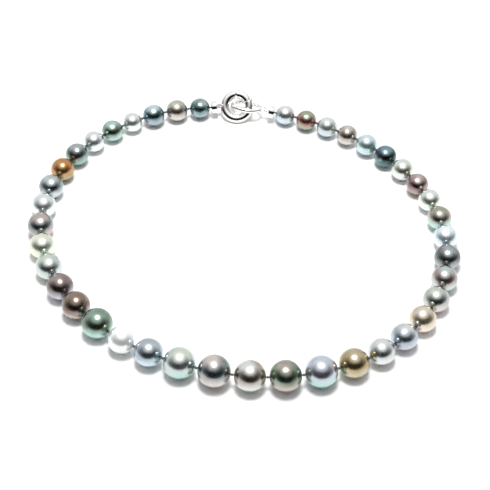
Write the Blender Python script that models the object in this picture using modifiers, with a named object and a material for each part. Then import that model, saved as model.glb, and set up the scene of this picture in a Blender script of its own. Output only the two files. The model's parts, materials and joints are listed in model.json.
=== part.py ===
"""A graduated strand of many-coloured round pearls, fastened and lying in a loop on a flat surface.

The pearls are drilled and strung on one silk thread with a knot between each pair. The thread ends in
two metal end caps. The left cap is pinned to a thick round clasp ring with a hinged gate, and the right
cap hangs by a small link from a pear-shaped loop that passes through the ring.

Units are metres, +Z is up and the strand lies on Z = 0. X runs to the right, the clasp is at the back
(+Y) and the largest pearl is at the front. Pearls are numbered from the left of the clasp, round the
front, to the right of the clasp.
"""
import math

import bmesh
import bpy
from mathutils import Matrix, Vector

MM = 0.001
UP = Vector((0.0, 0.0, 1.0))

# Each pearl's colour, from the left of the clasp to the right of the clasp.
PEARL_COLOURS = (
    "teal", "champagne", "peacock", "silver", "aqua", "white", "forest", "copper", "slate", "white",
    "charcoal", "cream", "mint", "aubergine", "bronze", "peacock", "white", "steel", "mint", "mauve",
    "olive", "forest", "sky", "gold", "silver", "steel", "cream", "forest", "rose", "charcoal",
    "ice", "bronze", "champagne", "aubergine", "champagne", "navy", "sky", "mauve", "silver", "cherry",
    "ice",
)
# Base colour of each kind of nacre (linear red, green, blue).
NACRE = {
    "teal": (0.10, 0.17, 0.16),
    "champagne": (0.50, 0.49, 0.38),
    "peacock": (0.06, 0.12, 0.11),
    "silver": (0.42, 0.44, 0.44),
    "aqua": (0.33, 0.40, 0.37),
    "white": (0.72, 0.73, 0.72),
    "forest": (0.14, 0.17, 0.14),
    "copper": (0.33, 0.20, 0.11),
    "slate": (0.15, 0.18, 0.19),
    "charcoal": (0.12, 0.11, 0.12),
    "cream": (0.66, 0.61, 0.50),
    "mint": (0.48, 0.55, 0.51),
    "aubergine": (0.14, 0.09, 0.12),
    "bronze": (0.17, 0.14, 0.10),
    "steel": (0.33, 0.38, 0.43),
    "mauve": (0.33, 0.29, 0.31),
    "olive": (0.32, 0.32, 0.25),
    "sky": (0.46, 0.56, 0.60),
    "gold": (0.34, 0.28, 0.15),
    "rose": (0.34, 0.27, 0.29),
    "ice": (0.60, 0.66, 0.68),
    "navy": (0.06, 0.10, 0.14),
    "cherry": (0.16, 0.08, 0.09),
}
NACRE_ROUGHNESS = 0.18
WHITE_GOLD = (0.83, 0.82, 0.80)
SILK = (0.20, 0.20, 0.21)

# The strand: the middle pearl is the largest, and sizes fall off evenly to both ends.
MIDDLE_PEARL = 21
MIDDLE_DIAMETER = 11.8 * MM
END_DIAMETER = 8.1 * MM
GRADING = 1.1
# Pearls that are a little larger or smaller than the grading gives.
SIZE_OFFSETS = {
    1: 0.2 * MM, 2: 0.6 * MM, 3: 0.5 * MM, 4: -0.5 * MM, 6: -0.3 * MM, 9: 0.2 * MM, 11: 0.2 * MM,
    14: -0.2 * MM, 16: 0.7 * MM, 17: -0.6 * MM, 18: -0.6 * MM, 19: 0.4 * MM, 20: 0.4 * MM,
    21: -0.3 * MM, 23: 0.5 * MM, 24: -0.2 * MM, 25: -1.0 * MM, 26: -0.7 * MM, 27: -0.5 * MM,
    28: -0.5 * MM, 29: -0.3 * MM, 31: -0.5 * MM, 32: -0.2 * MM, 33: -0.5 * MM, 34: -0.6 * MM,
    35: -0.2 * MM, 38: -0.2 * MM,
}
DRILL_RADIUS = 0.6 * MM
KNOT_GAP = 1.0 * MM
PEARL_SIDES = 12
PEARL_BANDS = 8

# The silk thread and its knots.
THREAD_RADIUS = 0.28 * MM
KNOT_RADIUS = 0.68 * MM
KNOT_BODY = 0.2 * MM
KNOT_TAPER = 0.34 * MM

# The loop that the strand lies in: a circle drawn out along a slanting line.
OVALNESS = 5.3 * MM
OVAL_TURN = math.radians(-26.0)
FRONT_ANGLE = math.radians(-88.0)
SMALLEST_LOOP = 60.0 * MM
LARGEST_LOOP = 90.0 * MM
# How much further back the clasp ring reaches than the rearmost pearl.
CLASP_OVERHANG = 2.28 * MM

# The clasp. Its own frame has X from the first knot to the last, Y outward and Z up.
CLASP_SPAN = 26.6 * MM
END_GAP = 0.7 * MM
CAP_RADIUS = 2.75 * MM
CAP_LENGTH = 2.35 * MM
CAP_EDGE = 0.25 * MM
CAP_WALL = 0.6 * MM
CAVITY_RADIUS = 1.55 * MM
CRIMP_RADIUS = 1.15 * MM
CRIMP_LENGTH = 0.7 * MM
GAP = 0.3 * MM
TURNED_SIDES = 20

RING_RADIUS = 5.0 * MM
RING_HALF_WIDTH = 1.85 * MM
RING_HALF_DEPTH = 1.45 * MM
RING_LEAN = math.radians(43.0)
RING_SEGMENTS = 40
RING_SIDES = 14
RING_HEADING = math.radians(3.0)

PIN_POINT = Vector((4.7 * MM, 0.9 * MM, 5.1 * MM))
PIN_RADIUS = 0.4 * MM
PIN_OFFSET = 5.95 * MM
TONGUE_RADIUS = 1.1 * MM
TONGUE_THICKNESS = 0.9 * MM
TONGUE_SLOT_HALF = 1.9 * MM

# The gate is the part of the ring between these angles, counted from the side where the loop pulls.
GATE_HINGE_ANGLE = math.radians(28.0)
GATE_FREE_ANGLE = math.radians(97.0)
FREE_GAP = 0.8 * MM
HINGE_OFFSET = RING_RADIUS + 1.25 * MM
KNUCKLE_RADIUS = 0.75 * MM
KNUCKLE_TONGUE = 0.8 * MM
HINGE_PIN_RADIUS = 0.25 * MM
CATCH_WIDTH = 1.0 * MM
CATCH_LENGTH = 1.4 * MM
CATCH_ROOT = 0.9 * MM
CATCH_INNER = RING_RADIUS - 0.6 * MM
CATCH_OUTER = RING_RADIUS + 1.2 * MM

LOOP_HEADING = math.radians(-9.0)
LOOP_LEAN = math.radians(-14.0)
LOOP_WIRE = 1.05 * MM
LOOP_END_WIRE = 0.55 * MM
LOOP_HALF_WIDTH = 3.45 * MM
LOOP_BACK = 6.8 * MM
LOOP_FRONT = 5.2 * MM
LINK_RADIUS = 1.6 * MM
LINK_WIRE = 0.24 * MM
EYE_RADIUS = 0.8 * MM
EYE_WIRE = 0.28 * MM


# ---------------------------------------------------------------- scene helpers

def clear_scene():
    """Remove every object, so that the script can be run again."""
    for obj in list(bpy.data.objects):
        bpy.data.objects.remove(obj, do_unlink=True)


def new_collection(name):
    """Return an empty collection with this name, linked to the scene."""
    old = bpy.data.collections.get(name)
    if old:
        bpy.data.collections.remove(old)
    made = bpy.data.collections.new(name)
    bpy.context.scene.collection.children.link(made)
    return made


def material(name, colour, roughness, metallic=0.0):
    """Return a plain Principled material."""
    mat = bpy.data.materials.get(name) or bpy.data.materials.new(name)
    mat.use_nodes = True
    shader = mat.node_tree.nodes["Principled BSDF"]
    shader.inputs["Base Color"].default_value = (*colour, 1.0)
    shader.inputs["Roughness"].default_value = roughness
    shader.inputs["Metallic"].default_value = metallic
    return mat


def nacre(colour_name):
    """Pearl surface of one colour."""
    return material("nacre_" + colour_name, NACRE[colour_name], NACRE_ROUGHNESS)


def white_gold():
    """Polished white metal of the clasp."""
    return material("white_gold", WHITE_GOLD, 0.12, 1.0)


def silk():
    """Grey knotted stringing silk."""
    return material("silk", SILK, 0.8)


def empty_at(name, parent, matrix, collection):
    """Add an empty that carries the pieces of one joint."""
    pivot = bpy.data.objects.new(name, None)
    pivot.empty_display_size = 2.0 * MM
    collection.objects.link(pivot)
    pivot.parent = parent
    pivot.matrix_basis = matrix
    return pivot


def new_object(name, mesh, mat, parent, collection, matrix=None):
    """Add a mesh object in its parent's frame."""
    obj = bpy.data.objects.new(name, mesh)
    collection.objects.link(obj)
    if mat:
        mesh.materials.append(mat)
    obj.parent = parent
    obj.matrix_basis = matrix or Matrix()
    mesh.shade_smooth()
    return obj


def frame_matrix(origin, forward, side):
    """Matrix whose X axis is forward, whose Z axis is square to X and side, and which sits at origin."""
    x_axis = forward.normalized()
    z_axis = x_axis.cross(side).normalized()
    y_axis = z_axis.cross(x_axis)
    turn = Matrix((x_axis, y_axis, z_axis)).transposed().to_4x4()
    return Matrix.Translation(origin) @ turn


# ---------------------------------------------------------------- shape helpers

def turned(name, profile, steps, mat, parent, collection, matrix=None, closed=False):
    """Turn a profile of (radius, height) points about the object's Z axis."""
    mesh = bpy.data.meshes.new(name)
    count = len(profile)
    edges = [(n, n + 1) for n in range(count - 1)]
    if closed:
        edges.append((count - 1, 0))
    mesh.from_pydata([(radius, 0.0, height) for radius, height in profile], edges, [])
    obj = new_object(name, mesh, mat, parent, collection, matrix)
    screw = obj.modifiers.new("turn", "SCREW")
    screw.steps = steps
    screw.render_steps = steps
    screw.use_merge_vertices = True
    screw.merge_threshold = 0.00001
    screw.use_smooth_shade = True
    return obj


def tube(name, points, radii, cyclic, mat, parent, collection):
    """Sweep a round section of changing radius along points, and return it as a closed mesh object."""
    curve = bpy.data.curves.new(name, "CURVE")
    curve.dimensions = "3D"
    curve.bevel_depth = 1.0
    curve.bevel_resolution = 2
    curve.use_fill_caps = not cyclic
    spline = curve.splines.new("POLY")
    spline.points.add(len(points) - 1)
    spline.use_cyclic_u = cyclic
    for point, place, radius in zip(spline.points, points, radii):
        point.co = (*place, 1.0)
        point.radius = radius
    guide = bpy.data.objects.new(name + "_curve", curve)
    collection.objects.link(guide)
    bpy.context.view_layer.update()
    mesh = bpy.data.meshes.new_from_object(guide.evaluated_get(bpy.context.evaluated_depsgraph_get()))
    bpy.data.objects.remove(guide)
    bpy.data.curves.remove(curve)
    shell = bmesh.new()
    shell.from_mesh(mesh)
    bmesh.ops.remove_doubles(shell, verts=shell.verts, dist=0.001 * MM)
    bmesh.ops.recalc_face_normals(shell, faces=shell.faces)
    shell.to_mesh(mesh)
    shell.free()
    mesh.name = name
    mesh.materials.clear()
    return new_object(name, mesh, mat, parent, collection)


def box_mesh(name, low, high):
    """Mesh of a box between two corners."""
    shell = bmesh.new()
    bmesh.ops.create_cube(shell, size=1.0)
    middle = (low + high) / 2.0
    size = high - low
    bmesh.ops.scale(shell, vec=size, verts=shell.verts)
    bmesh.ops.translate(shell, vec=middle, verts=shell.verts)
    mesh = bpy.data.meshes.new(name)
    shell.to_mesh(mesh)
    shell.free()
    return mesh


def disc_mesh(name, centre, radius, half_height, sides=24):
    """Mesh of an upright cylinder about centre."""
    shell = bmesh.new()
    bmesh.ops.create_cone(
        shell, cap_ends=True, segments=sides, radius1=radius, radius2=radius, depth=2.0 * half_height
    )
    bmesh.ops.translate(shell, vec=centre, verts=shell.verts)
    mesh = bpy.data.meshes.new(name)
    shell.to_mesh(mesh)
    shell.free()
    return mesh


def ring_mesh(name, radius, half_width, half_depth, segments, sides):
    """Mesh of a ring about Z whose oval section is half_width across and half_depth along Z."""
    shell = bmesh.new()
    section = []
    for side in range(sides):
        turn = 2.0 * math.pi * side / sides
        place = (radius + half_width * math.cos(turn), 0.0, half_depth * math.sin(turn))
        section.append(shell.verts.new(place))
    edges = [shell.edges.new((section[n], section[(n + 1) % sides])) for n in range(sides)]
    bmesh.ops.spin(
        shell, geom=section + edges, axis=UP, cent=(0.0, 0.0, 0.0),
        angle=2.0 * math.pi, steps=segments, use_merge=True,
    )
    bmesh.ops.remove_doubles(shell, verts=shell.verts, dist=0.001 * MM)
    bmesh.ops.recalc_face_normals(shell, faces=shell.faces)
    mesh = bpy.data.meshes.new(name)
    shell.to_mesh(mesh)
    shell.free()
    return mesh


def sector_mesh(name, start, end, reach, half_height):
    """Mesh of a wedge about Z, from angle start to angle end and out to reach."""
    pieces = max(2, math.ceil((end - start) / math.radians(30.0)))
    angles = [start + (end - start) * n / pieces for n in range(pieces + 1)]
    shell = bmesh.new()
    rim = [shell.verts.new((0.0, 0.0, -half_height))]
    for angle in angles:
        rim.append(shell.verts.new((reach * math.cos(angle), reach * math.sin(angle), -half_height)))
    floor = shell.faces.new(rim)
    grown = bmesh.ops.extrude_face_region(shell, geom=[floor])
    top = [item for item in grown["geom"] if isinstance(item, bmesh.types.BMVert)]
    bmesh.ops.translate(shell, vec=(0.0, 0.0, 2.0 * half_height), verts=top)
    bmesh.ops.recalc_face_normals(shell, faces=shell.faces)
    mesh = bpy.data.meshes.new(name)
    shell.to_mesh(mesh)
    shell.free()
    return mesh


def cutter(name, mesh, parent, collection, matrix=None):
    """Add a helper object that only serves a Boolean modifier."""
    tool = bpy.data.objects.new(name, mesh)
    collection.objects.link(tool)
    tool.parent = parent
    tool.matrix_basis = matrix or Matrix()
    tool.hide_render = True
    tool.display_type = "WIRE"
    return tool


def combine(obj, tool, operation):
    """Apply one Boolean step to an object with an exact solver."""
    step = obj.modifiers.new(operation.lower() + "_" + tool.name, "BOOLEAN")
    step.operation = operation
    step.object = tool
    step.solver = "EXACT"
    return step


def smooth_loop(points, per_span):
    """Closed Catmull-Rom curve through points, with per_span points from each to the next."""
    made = []
    count = len(points)
    for n in range(count):
        before, here, there, after = (points[(n + k) % count] for k in (-1, 0, 1, 2))
        for k in range(per_span):
            t = k / per_span
            made.append(0.5 * (
                2.0 * here
                + (there - before) * t
                + (2.0 * before - 5.0 * here + 4.0 * there - after) * t ** 2
                + (3.0 * here - before - 3.0 * there + after) * t ** 3
            ))
    return made


# ---------------------------------------------------------------- layout of the strand

def pearl_radius(number):
    """Radius of a pearl by its number."""
    off_middle = abs(number - MIDDLE_PEARL) / (MIDDLE_PEARL - 1)
    diameter = END_DIAMETER + (MIDDLE_DIAMETER - END_DIAMETER) * (1.0 - off_middle) ** GRADING
    return (diameter + SIZE_OFFSETS.get(number, 0.0)) / 2.0


def loop_point(angle, loop_radius):
    """Point of the loop's plan at a polar angle."""
    reach = loop_radius + OVALNESS * math.cos(2.0 * (angle - OVAL_TURN))
    return Vector((reach * math.cos(angle), reach * math.sin(angle), 0.0))


def step_along(angle, chord, direction, loop_radius):
    """Angle of the loop point that lies one chord further on."""
    start = loop_point(angle, loop_radius)
    low, high = 0.0, 0.6
    for _ in range(40):
        middle = (low + high) / 2.0
        if (loop_point(angle + direction * middle, loop_radius) - start).length < chord:
            low = middle
        else:
            high = middle
    return angle + direction * high


def knot_plan(loop_radius):
    """Plan positions of all knots on a loop of this radius, from the left cap to the right cap."""
    chords = {n: 2.0 * pearl_radius(n) + KNOT_GAP for n in range(1, len(PEARL_COLOURS) + 1)}
    for end in (1, len(PEARL_COLOURS)):
        chords[end] += (END_GAP - KNOT_GAP) / 2.0
    half_turn = chords[MIDDLE_PEARL] / loop_radius / 2.0
    left = [FRONT_ANGLE - half_turn]
    right = [step_along(left[0], chords[MIDDLE_PEARL], 1.0, loop_radius)]
    for number in range(MIDDLE_PEARL - 1, 0, -1):
        left.append(step_along(left[-1], chords[number], -1.0, loop_radius))
    for number in range(MIDDLE_PEARL + 1, len(PEARL_COLOURS) + 1):
        right.append(step_along(right[-1], chords[number], 1.0, loop_radius))
    return [loop_point(angle, loop_radius) for angle in reversed(left)] + [
        loop_point(angle, loop_radius) for angle in right
    ]


def closing_radius():
    """Loop radius at which the clasp just fits between the first and the last knot."""
    low, high = SMALLEST_LOOP, LARGEST_LOOP
    for _ in range(40):
        middle = (low + high) / 2.0
        plan = knot_plan(middle)
        if (plan[-1] - plan[0]).length < CLASP_SPAN:
            low = middle
        else:
            high = middle
    return (low + high) / 2.0


def pearl_middle(knots, number):
    """Centre of a pearl. The end pearls sit off the middle of their knots, as their outer gaps are smaller."""
    before, after = knots[number - 1], knots[number]
    along = (after - before).normalized()
    shift = 0.0
    if number == 1:
        shift = (END_GAP - KNOT_GAP) / 4.0
    if number == len(PEARL_COLOURS):
        shift = (KNOT_GAP - END_GAP) / 4.0
    return (before + after) / 2.0 + along * shift


def knot_places():
    """Knots in 3-D, with every pearl on or just above Z = 0 and the object centred on the Z axis."""
    knots = knot_plan(closing_radius())
    numbers = range(1, len(PEARL_COLOURS) + 1)
    radii = [pearl_radius(n) for n in numbers]
    heights = [radii[0]] + [(a + b) / 2.0 for a, b in zip(radii, radii[1:])] + [radii[-1]]
    for knot, height in zip(knots, heights):
        knot.z = height
    middles = [pearl_middle(knots, n) for n in numbers]
    raise_by = max(radius - middle.z for radius, middle in zip(radii, middles))
    shift = Vector((0.0, 0.0, raise_by))
    for axis, overhang in enumerate((0.0, CLASP_OVERHANG)):
        low = min(middle[axis] - radius for radius, middle in zip(radii, middles))
        high = max(middle[axis] + radius for radius, middle in zip(radii, middles))
        shift[axis] = -(low + high + overhang) / 2.0
    return [knot + shift for knot in knots]


# ---------------------------------------------------------------- pearls and thread

def add_pearl(number, knots, collection):
    """A drilled pearl, with its origin on the knot that joins it to its neighbour nearer the front."""
    centre = pearl_middle(knots, number)
    hinge = knots[number] if number < MIDDLE_PEARL else knots[number - 1]
    if number == MIDDLE_PEARL:
        hinge = centre
    along = (knots[number] - knots[number - 1]).normalized()
    offset = (centre - hinge).dot(along)
    radius = pearl_radius(number)
    rim = math.asin(DRILL_RADIUS / radius)
    profile = []
    for band in range(PEARL_BANDS + 1):
        turn = rim + (math.pi - 2.0 * rim) * band / PEARL_BANDS
        profile.append((radius * math.sin(turn), offset + radius * math.cos(turn)))
    down = -(UP - along * UP.dot(along)).normalized()
    turn = Matrix((down, along.cross(down), along)).transposed().to_4x4()
    colour = PEARL_COLOURS[number - 1]
    return turned(
        f"pearl_{number:02d}_{colour}", profile, PEARL_SIDES, nacre(colour), None, collection,
        Matrix.Translation(hinge) @ turn, closed=True,
    )


def add_thread(knots, left_end, right_end, collection):
    """One thread from cap to cap, through every pearl, with a knot at every gap."""
    route = [left_end] + knots + [right_end]
    points, radii = [left_end], [THREAD_RADIUS]
    for before, knot, after in zip(route, route[1:], route[2:]):
        coming = (knot - before).normalized()
        going = (after - knot).normalized()
        points += [
            knot - coming * KNOT_TAPER,
            knot - coming * KNOT_BODY,
            knot + going * KNOT_BODY,
            knot + going * KNOT_TAPER,
        ]
        radii += [THREAD_RADIUS, KNOT_RADIUS, KNOT_RADIUS, THREAD_RADIUS]
    points.append(right_end)
    radii.append(THREAD_RADIUS)
    return tube("silk_thread", points, radii, False, silk(), None, collection)


# ---------------------------------------------------------------- clasp

def clasp_frame(knots, collection):
    """Empty whose X axis runs from the first knot to the last, at the height of the table."""
    start = Vector((knots[0].x, knots[0].y, 0.0))
    end = Vector((knots[-1].x, knots[-1].y, 0.0))
    along = end - start
    outward = UP.cross(along)
    return empty_at("clasp_frame", None, frame_matrix(start, along, outward), collection)


def cap_profile():
    """Half section of an end cap: open towards the pearl, hollow for the crimped thread end."""
    top = CAP_LENGTH
    return [
        (0.0, top),
        (CAP_RADIUS - CAP_EDGE, top),
        (CAP_RADIUS, top - CAP_EDGE),
        (CAP_RADIUS, CAP_EDGE),
        (CAP_RADIUS - CAP_EDGE, 0.0),
        (DRILL_RADIUS, 0.0),
        (DRILL_RADIUS, CAP_WALL),
        (CAVITY_RADIUS, CAP_WALL),
        (CAVITY_RADIUS, top - CAP_WALL),
        (0.0, top - CAP_WALL),
    ]


def add_crimp(name, pivot, collection):
    """Crimp tube that grips the thread's end inside a cap. The cap's frame has X away from the pearl."""
    start = END_GAP / 2.0 + CAP_WALL + 0.2 * MM
    bore = THREAD_RADIUS + GAP
    profile = [
        (bore, CRIMP_LENGTH), (CRIMP_RADIUS, CRIMP_LENGTH), (CRIMP_RADIUS, 0.0), (bore, 0.0),
    ]
    place = Matrix.Translation((start, 0.0, 0.0)) @ Matrix.Rotation(math.radians(90.0), 4, "Y")
    turned(name, profile, 12, white_gold(), pivot, collection, place, closed=True)


def add_cap(name, pivot, collection):
    """End cap whose open face looks at the pearl. The cap's frame has X away from the pearl."""
    place = Matrix.Translation((END_GAP / 2.0, 0.0, 0.0)) @ Matrix.Rotation(math.radians(90.0), 4, "Y")
    return turned(name, cap_profile(), TURNED_SIDES, white_gold(), pivot, collection, place)


def add_left_cap(pivot, reach, collection, cutters):
    """Left end cap with the flat tongue that is pinned into the clasp ring, reach away from the knot."""
    cap = add_cap("end_cap_left", pivot, collection)
    half = TONGUE_THICKNESS / 2.0
    lean = Matrix.Rotation(RING_LEAN, 4, "X")
    neck = box_mesh(
        "tongue_neck",
        Vector((END_GAP / 2.0 + CAP_LENGTH - CAP_WALL / 2.0, -TONGUE_RADIUS * 0.8, -half)),
        Vector((reach, TONGUE_RADIUS * 0.8, half)),
    )
    nose = disc_mesh("tongue_nose", Vector((reach, 0.0, 0.0)), TONGUE_RADIUS, half)
    hole = disc_mesh("tongue_hole", Vector((reach, 0.0, 0.0)), PIN_RADIUS + GAP, 2.0 * half, 16)
    combine(cap, cutter("cut_tongue_neck", neck, pivot, cutters, lean), "UNION")
    combine(cap, cutter("cut_tongue_nose", nose, pivot, cutters, lean), "UNION")
    combine(cap, cutter("cut_tongue_hole", hole, pivot, cutters, lean), "DIFFERENCE")


def add_right_cap(pivot, reach, collection, cutters):
    """Right end cap with a wire eye for the link, whose middle is reach away from the knot."""
    cap = add_cap("end_cap_right", pivot, collection)
    eye = ring_mesh("cap_eye", EYE_RADIUS, EYE_WIRE, EYE_WIRE, 20, 8)
    place = Matrix.Translation((reach, 0.0, 0.0))
    combine(cap, cutter("cut_cap_eye", eye, pivot, cutters, place), "UNION")
    half = 0.8 * EYE_WIRE
    stem = box_mesh(
        "eye_stem",
        Vector((END_GAP / 2.0 + CAP_LENGTH - CAP_WALL / 2.0, -half, -half)),
        Vector((reach - EYE_RADIUS, half, half)),
    )
    combine(cap, cutter("cut_eye_stem", stem, pivot, cutters), "UNION")


def polar(radius, angle):
    """Point of the ring's plane."""
    return Vector((radius * math.cos(angle), radius * math.sin(angle), 0.0))


def add_ring_body(ring_frame, collection, cutters):
    """Fixed part of the clasp ring, with its slots for the cap's tongue, the gate's knuckle and its catch."""
    ring = new_object(
        "clasp_ring",
        ring_mesh("clasp_ring", RING_RADIUS, RING_HALF_WIDTH, RING_HALF_DEPTH, RING_SEGMENTS, RING_SIDES),
        white_gold(), ring_frame, collection,
    )
    hinge = polar(HINGE_OFFSET, GATE_HINGE_ANGLE)
    tall = 2.0 * RING_HALF_DEPTH
    start = GATE_HINGE_ANGLE - 0.5 * GAP / RING_RADIUS
    end = GATE_FREE_ANGLE + 0.5 * FREE_GAP / RING_RADIUS
    gap = sector_mesh("gate_gap", start, end, 3.0 * RING_RADIUS, tall)
    combine(ring, cutter("cut_gate_gap", gap, ring_frame, cutters), "DIFFERENCE")
    lug = disc_mesh("hinge_lug", hinge, KNUCKLE_RADIUS, RING_HALF_DEPTH * 0.8)
    combine(ring, cutter("cut_hinge_lug", lug, ring_frame, cutters), "UNION")
    slot_half = KNUCKLE_TONGUE / 2.0 + GAP
    knuckle_slot = disc_mesh("knuckle_slot", hinge, KNUCKLE_RADIUS + GAP, slot_half)
    combine(ring, cutter("cut_knuckle_slot", knuckle_slot, ring_frame, cutters), "DIFFERENCE")
    pin_hole = disc_mesh("hinge_pin_hole", hinge, HINGE_PIN_RADIUS + GAP / 2.0, tall, 12)
    combine(ring, cutter("cut_hinge_pin_hole", pin_hole, ring_frame, cutters), "DIFFERENCE")
    pin = Vector((-PIN_OFFSET, 0.0, 0.0))
    tongue_half = TONGUE_THICKNESS / 2.0 + GAP
    tongue_slot = box_mesh(
        "tongue_slot",
        Vector((-2.0 * RING_RADIUS, -TONGUE_SLOT_HALF, -tongue_half)),
        Vector((-PIN_OFFSET + TONGUE_RADIUS + GAP, TONGUE_SLOT_HALF, tongue_half)),
    )
    combine(ring, cutter("cut_tongue_slot", tongue_slot, ring_frame, cutters), "DIFFERENCE")
    lug_hole = disc_mesh("left_pin_hole", pin, PIN_RADIUS + GAP / 2.0, tall, 16)
    combine(ring, cutter("cut_left_pin_hole", lug_hole, ring_frame, cutters), "DIFFERENCE")
    catch = catch_mesh("catch_slot", GAP, 2.0 * RING_RADIUS)
    combine(ring, cutter("cut_catch_slot", catch, ring_frame, cutters), "DIFFERENCE")


def catch_mesh(name, extra, outer):
    """Mesh of the gate's catch, grown by extra on its sides and reaching out to outer."""
    mesh = box_mesh(
        name,
        Vector((CATCH_INNER - extra, -CATCH_ROOT, -CATCH_WIDTH / 2.0 - extra)),
        Vector((outer, CATCH_LENGTH + extra, CATCH_WIDTH / 2.0 + extra)),
    )
    mesh.transform(Matrix.Rotation(GATE_FREE_ANGLE, 4, "Z"))
    return mesh


def add_gate(gate_frame, ring_to_gate, collection, cutters):
    """Hinged part of the clasp ring, with its knuckle and its catch."""
    gate = new_object(
        "clasp_gate",
        ring_mesh("clasp_gate", RING_RADIUS, RING_HALF_WIDTH, RING_HALF_DEPTH, RING_SEGMENTS, RING_SIDES),
        white_gold(), gate_frame, collection, ring_to_gate,
    )
    hinge = polar(HINGE_OFFSET, GATE_HINGE_ANGLE)
    tall = 2.0 * RING_HALF_DEPTH
    start = GATE_HINGE_ANGLE + 0.5 * GAP / RING_RADIUS
    end = GATE_FREE_ANGLE - 0.5 * FREE_GAP / RING_RADIUS
    keep = sector_mesh("gate_keep", start, end, 3.0 * RING_RADIUS, tall)
    combine(gate, cutter("cut_gate_keep", keep, gate_frame, cutters, ring_to_gate), "INTERSECT")
    seat = disc_mesh("lug_seat", hinge, KNUCKLE_RADIUS + GAP, tall)
    combine(gate, cutter("cut_lug_seat", seat, gate_frame, cutters, ring_to_gate), "DIFFERENCE")
    knuckle = disc_mesh("gate_knuckle", hinge, KNUCKLE_RADIUS, KNUCKLE_TONGUE / 2.0)
    combine(gate, cutter("cut_gate_knuckle", knuckle, gate_frame, cutters, ring_to_gate), "UNION")
    arm = box_mesh(
        "knuckle_arm",
        Vector((HINGE_OFFSET - KNUCKLE_RADIUS, 0.0, -KNUCKLE_TONGUE / 2.0)),
        Vector((HINGE_OFFSET + KNUCKLE_RADIUS * 0.6, KNUCKLE_RADIUS + 2.0 * GAP, KNUCKLE_TONGUE / 2.0)),
    )
    arm.transform(Matrix.Rotation(GATE_HINGE_ANGLE, 4, "Z"))
    combine(gate, cutter("cut_knuckle_arm", arm, gate_frame, cutters, ring_to_gate), "UNION")
    catch = catch_mesh("gate_catch", 0.0, CATCH_OUTER)
    combine(gate, cutter("cut_gate_catch", catch, gate_frame, cutters, ring_to_gate), "UNION")
    hole = disc_mesh("gate_pin_hole", hinge, HINGE_PIN_RADIUS + GAP / 2.0, tall, 12)
    combine(gate, cutter("cut_gate_pin_hole", hole, gate_frame, cutters, ring_to_gate), "DIFFERENCE")


def add_pins(ring_frame, collection):
    """The two rivets of the clasp ring."""
    left = disc_mesh("left_rivet", Vector((-PIN_OFFSET, 0.0, 0.0)), PIN_RADIUS, RING_HALF_DEPTH * 0.95, 12)
    new_object("left_cap_rivet", left, white_gold(), ring_frame, collection)
    hinge = polar(HINGE_OFFSET, GATE_HINGE_ANGLE)
    right = disc_mesh("gate_rivet", hinge, HINGE_PIN_RADIUS, RING_HALF_DEPTH * 0.8, 10)
    new_object("gate_hinge_rivet", right, white_gold(), ring_frame, collection)


def loop_outline():
    """Points and wire radii of the pear-shaped loop, in its own frame, with the narrow end at +X."""
    half = [
        (-LOOP_BACK, 0.0),
        (-0.85 * LOOP_BACK, 0.66 * LOOP_HALF_WIDTH),
        (-0.5 * LOOP_BACK, LOOP_HALF_WIDTH),
        (0.0, LOOP_HALF_WIDTH),
        (0.5 * LOOP_FRONT, 0.82 * LOOP_HALF_WIDTH),
        (0.88 * LOOP_FRONT, 0.42 * LOOP_HALF_WIDTH),
        (LOOP_FRONT, 0.0),
    ]
    corners = [Vector((x, y, 0.0)) for x, y in half]
    corners += [Vector((x, -y, 0.0)) for x, y in reversed(half[1:-1])]
    points = smooth_loop(corners, 3)
    radii = []
    for point in points:
        share = min(1.0, max(0.0, point.x / LOOP_FRONT))
        radii.append(LOOP_WIRE + (LOOP_END_WIRE - LOOP_WIRE) * share)
    return points, radii


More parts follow.
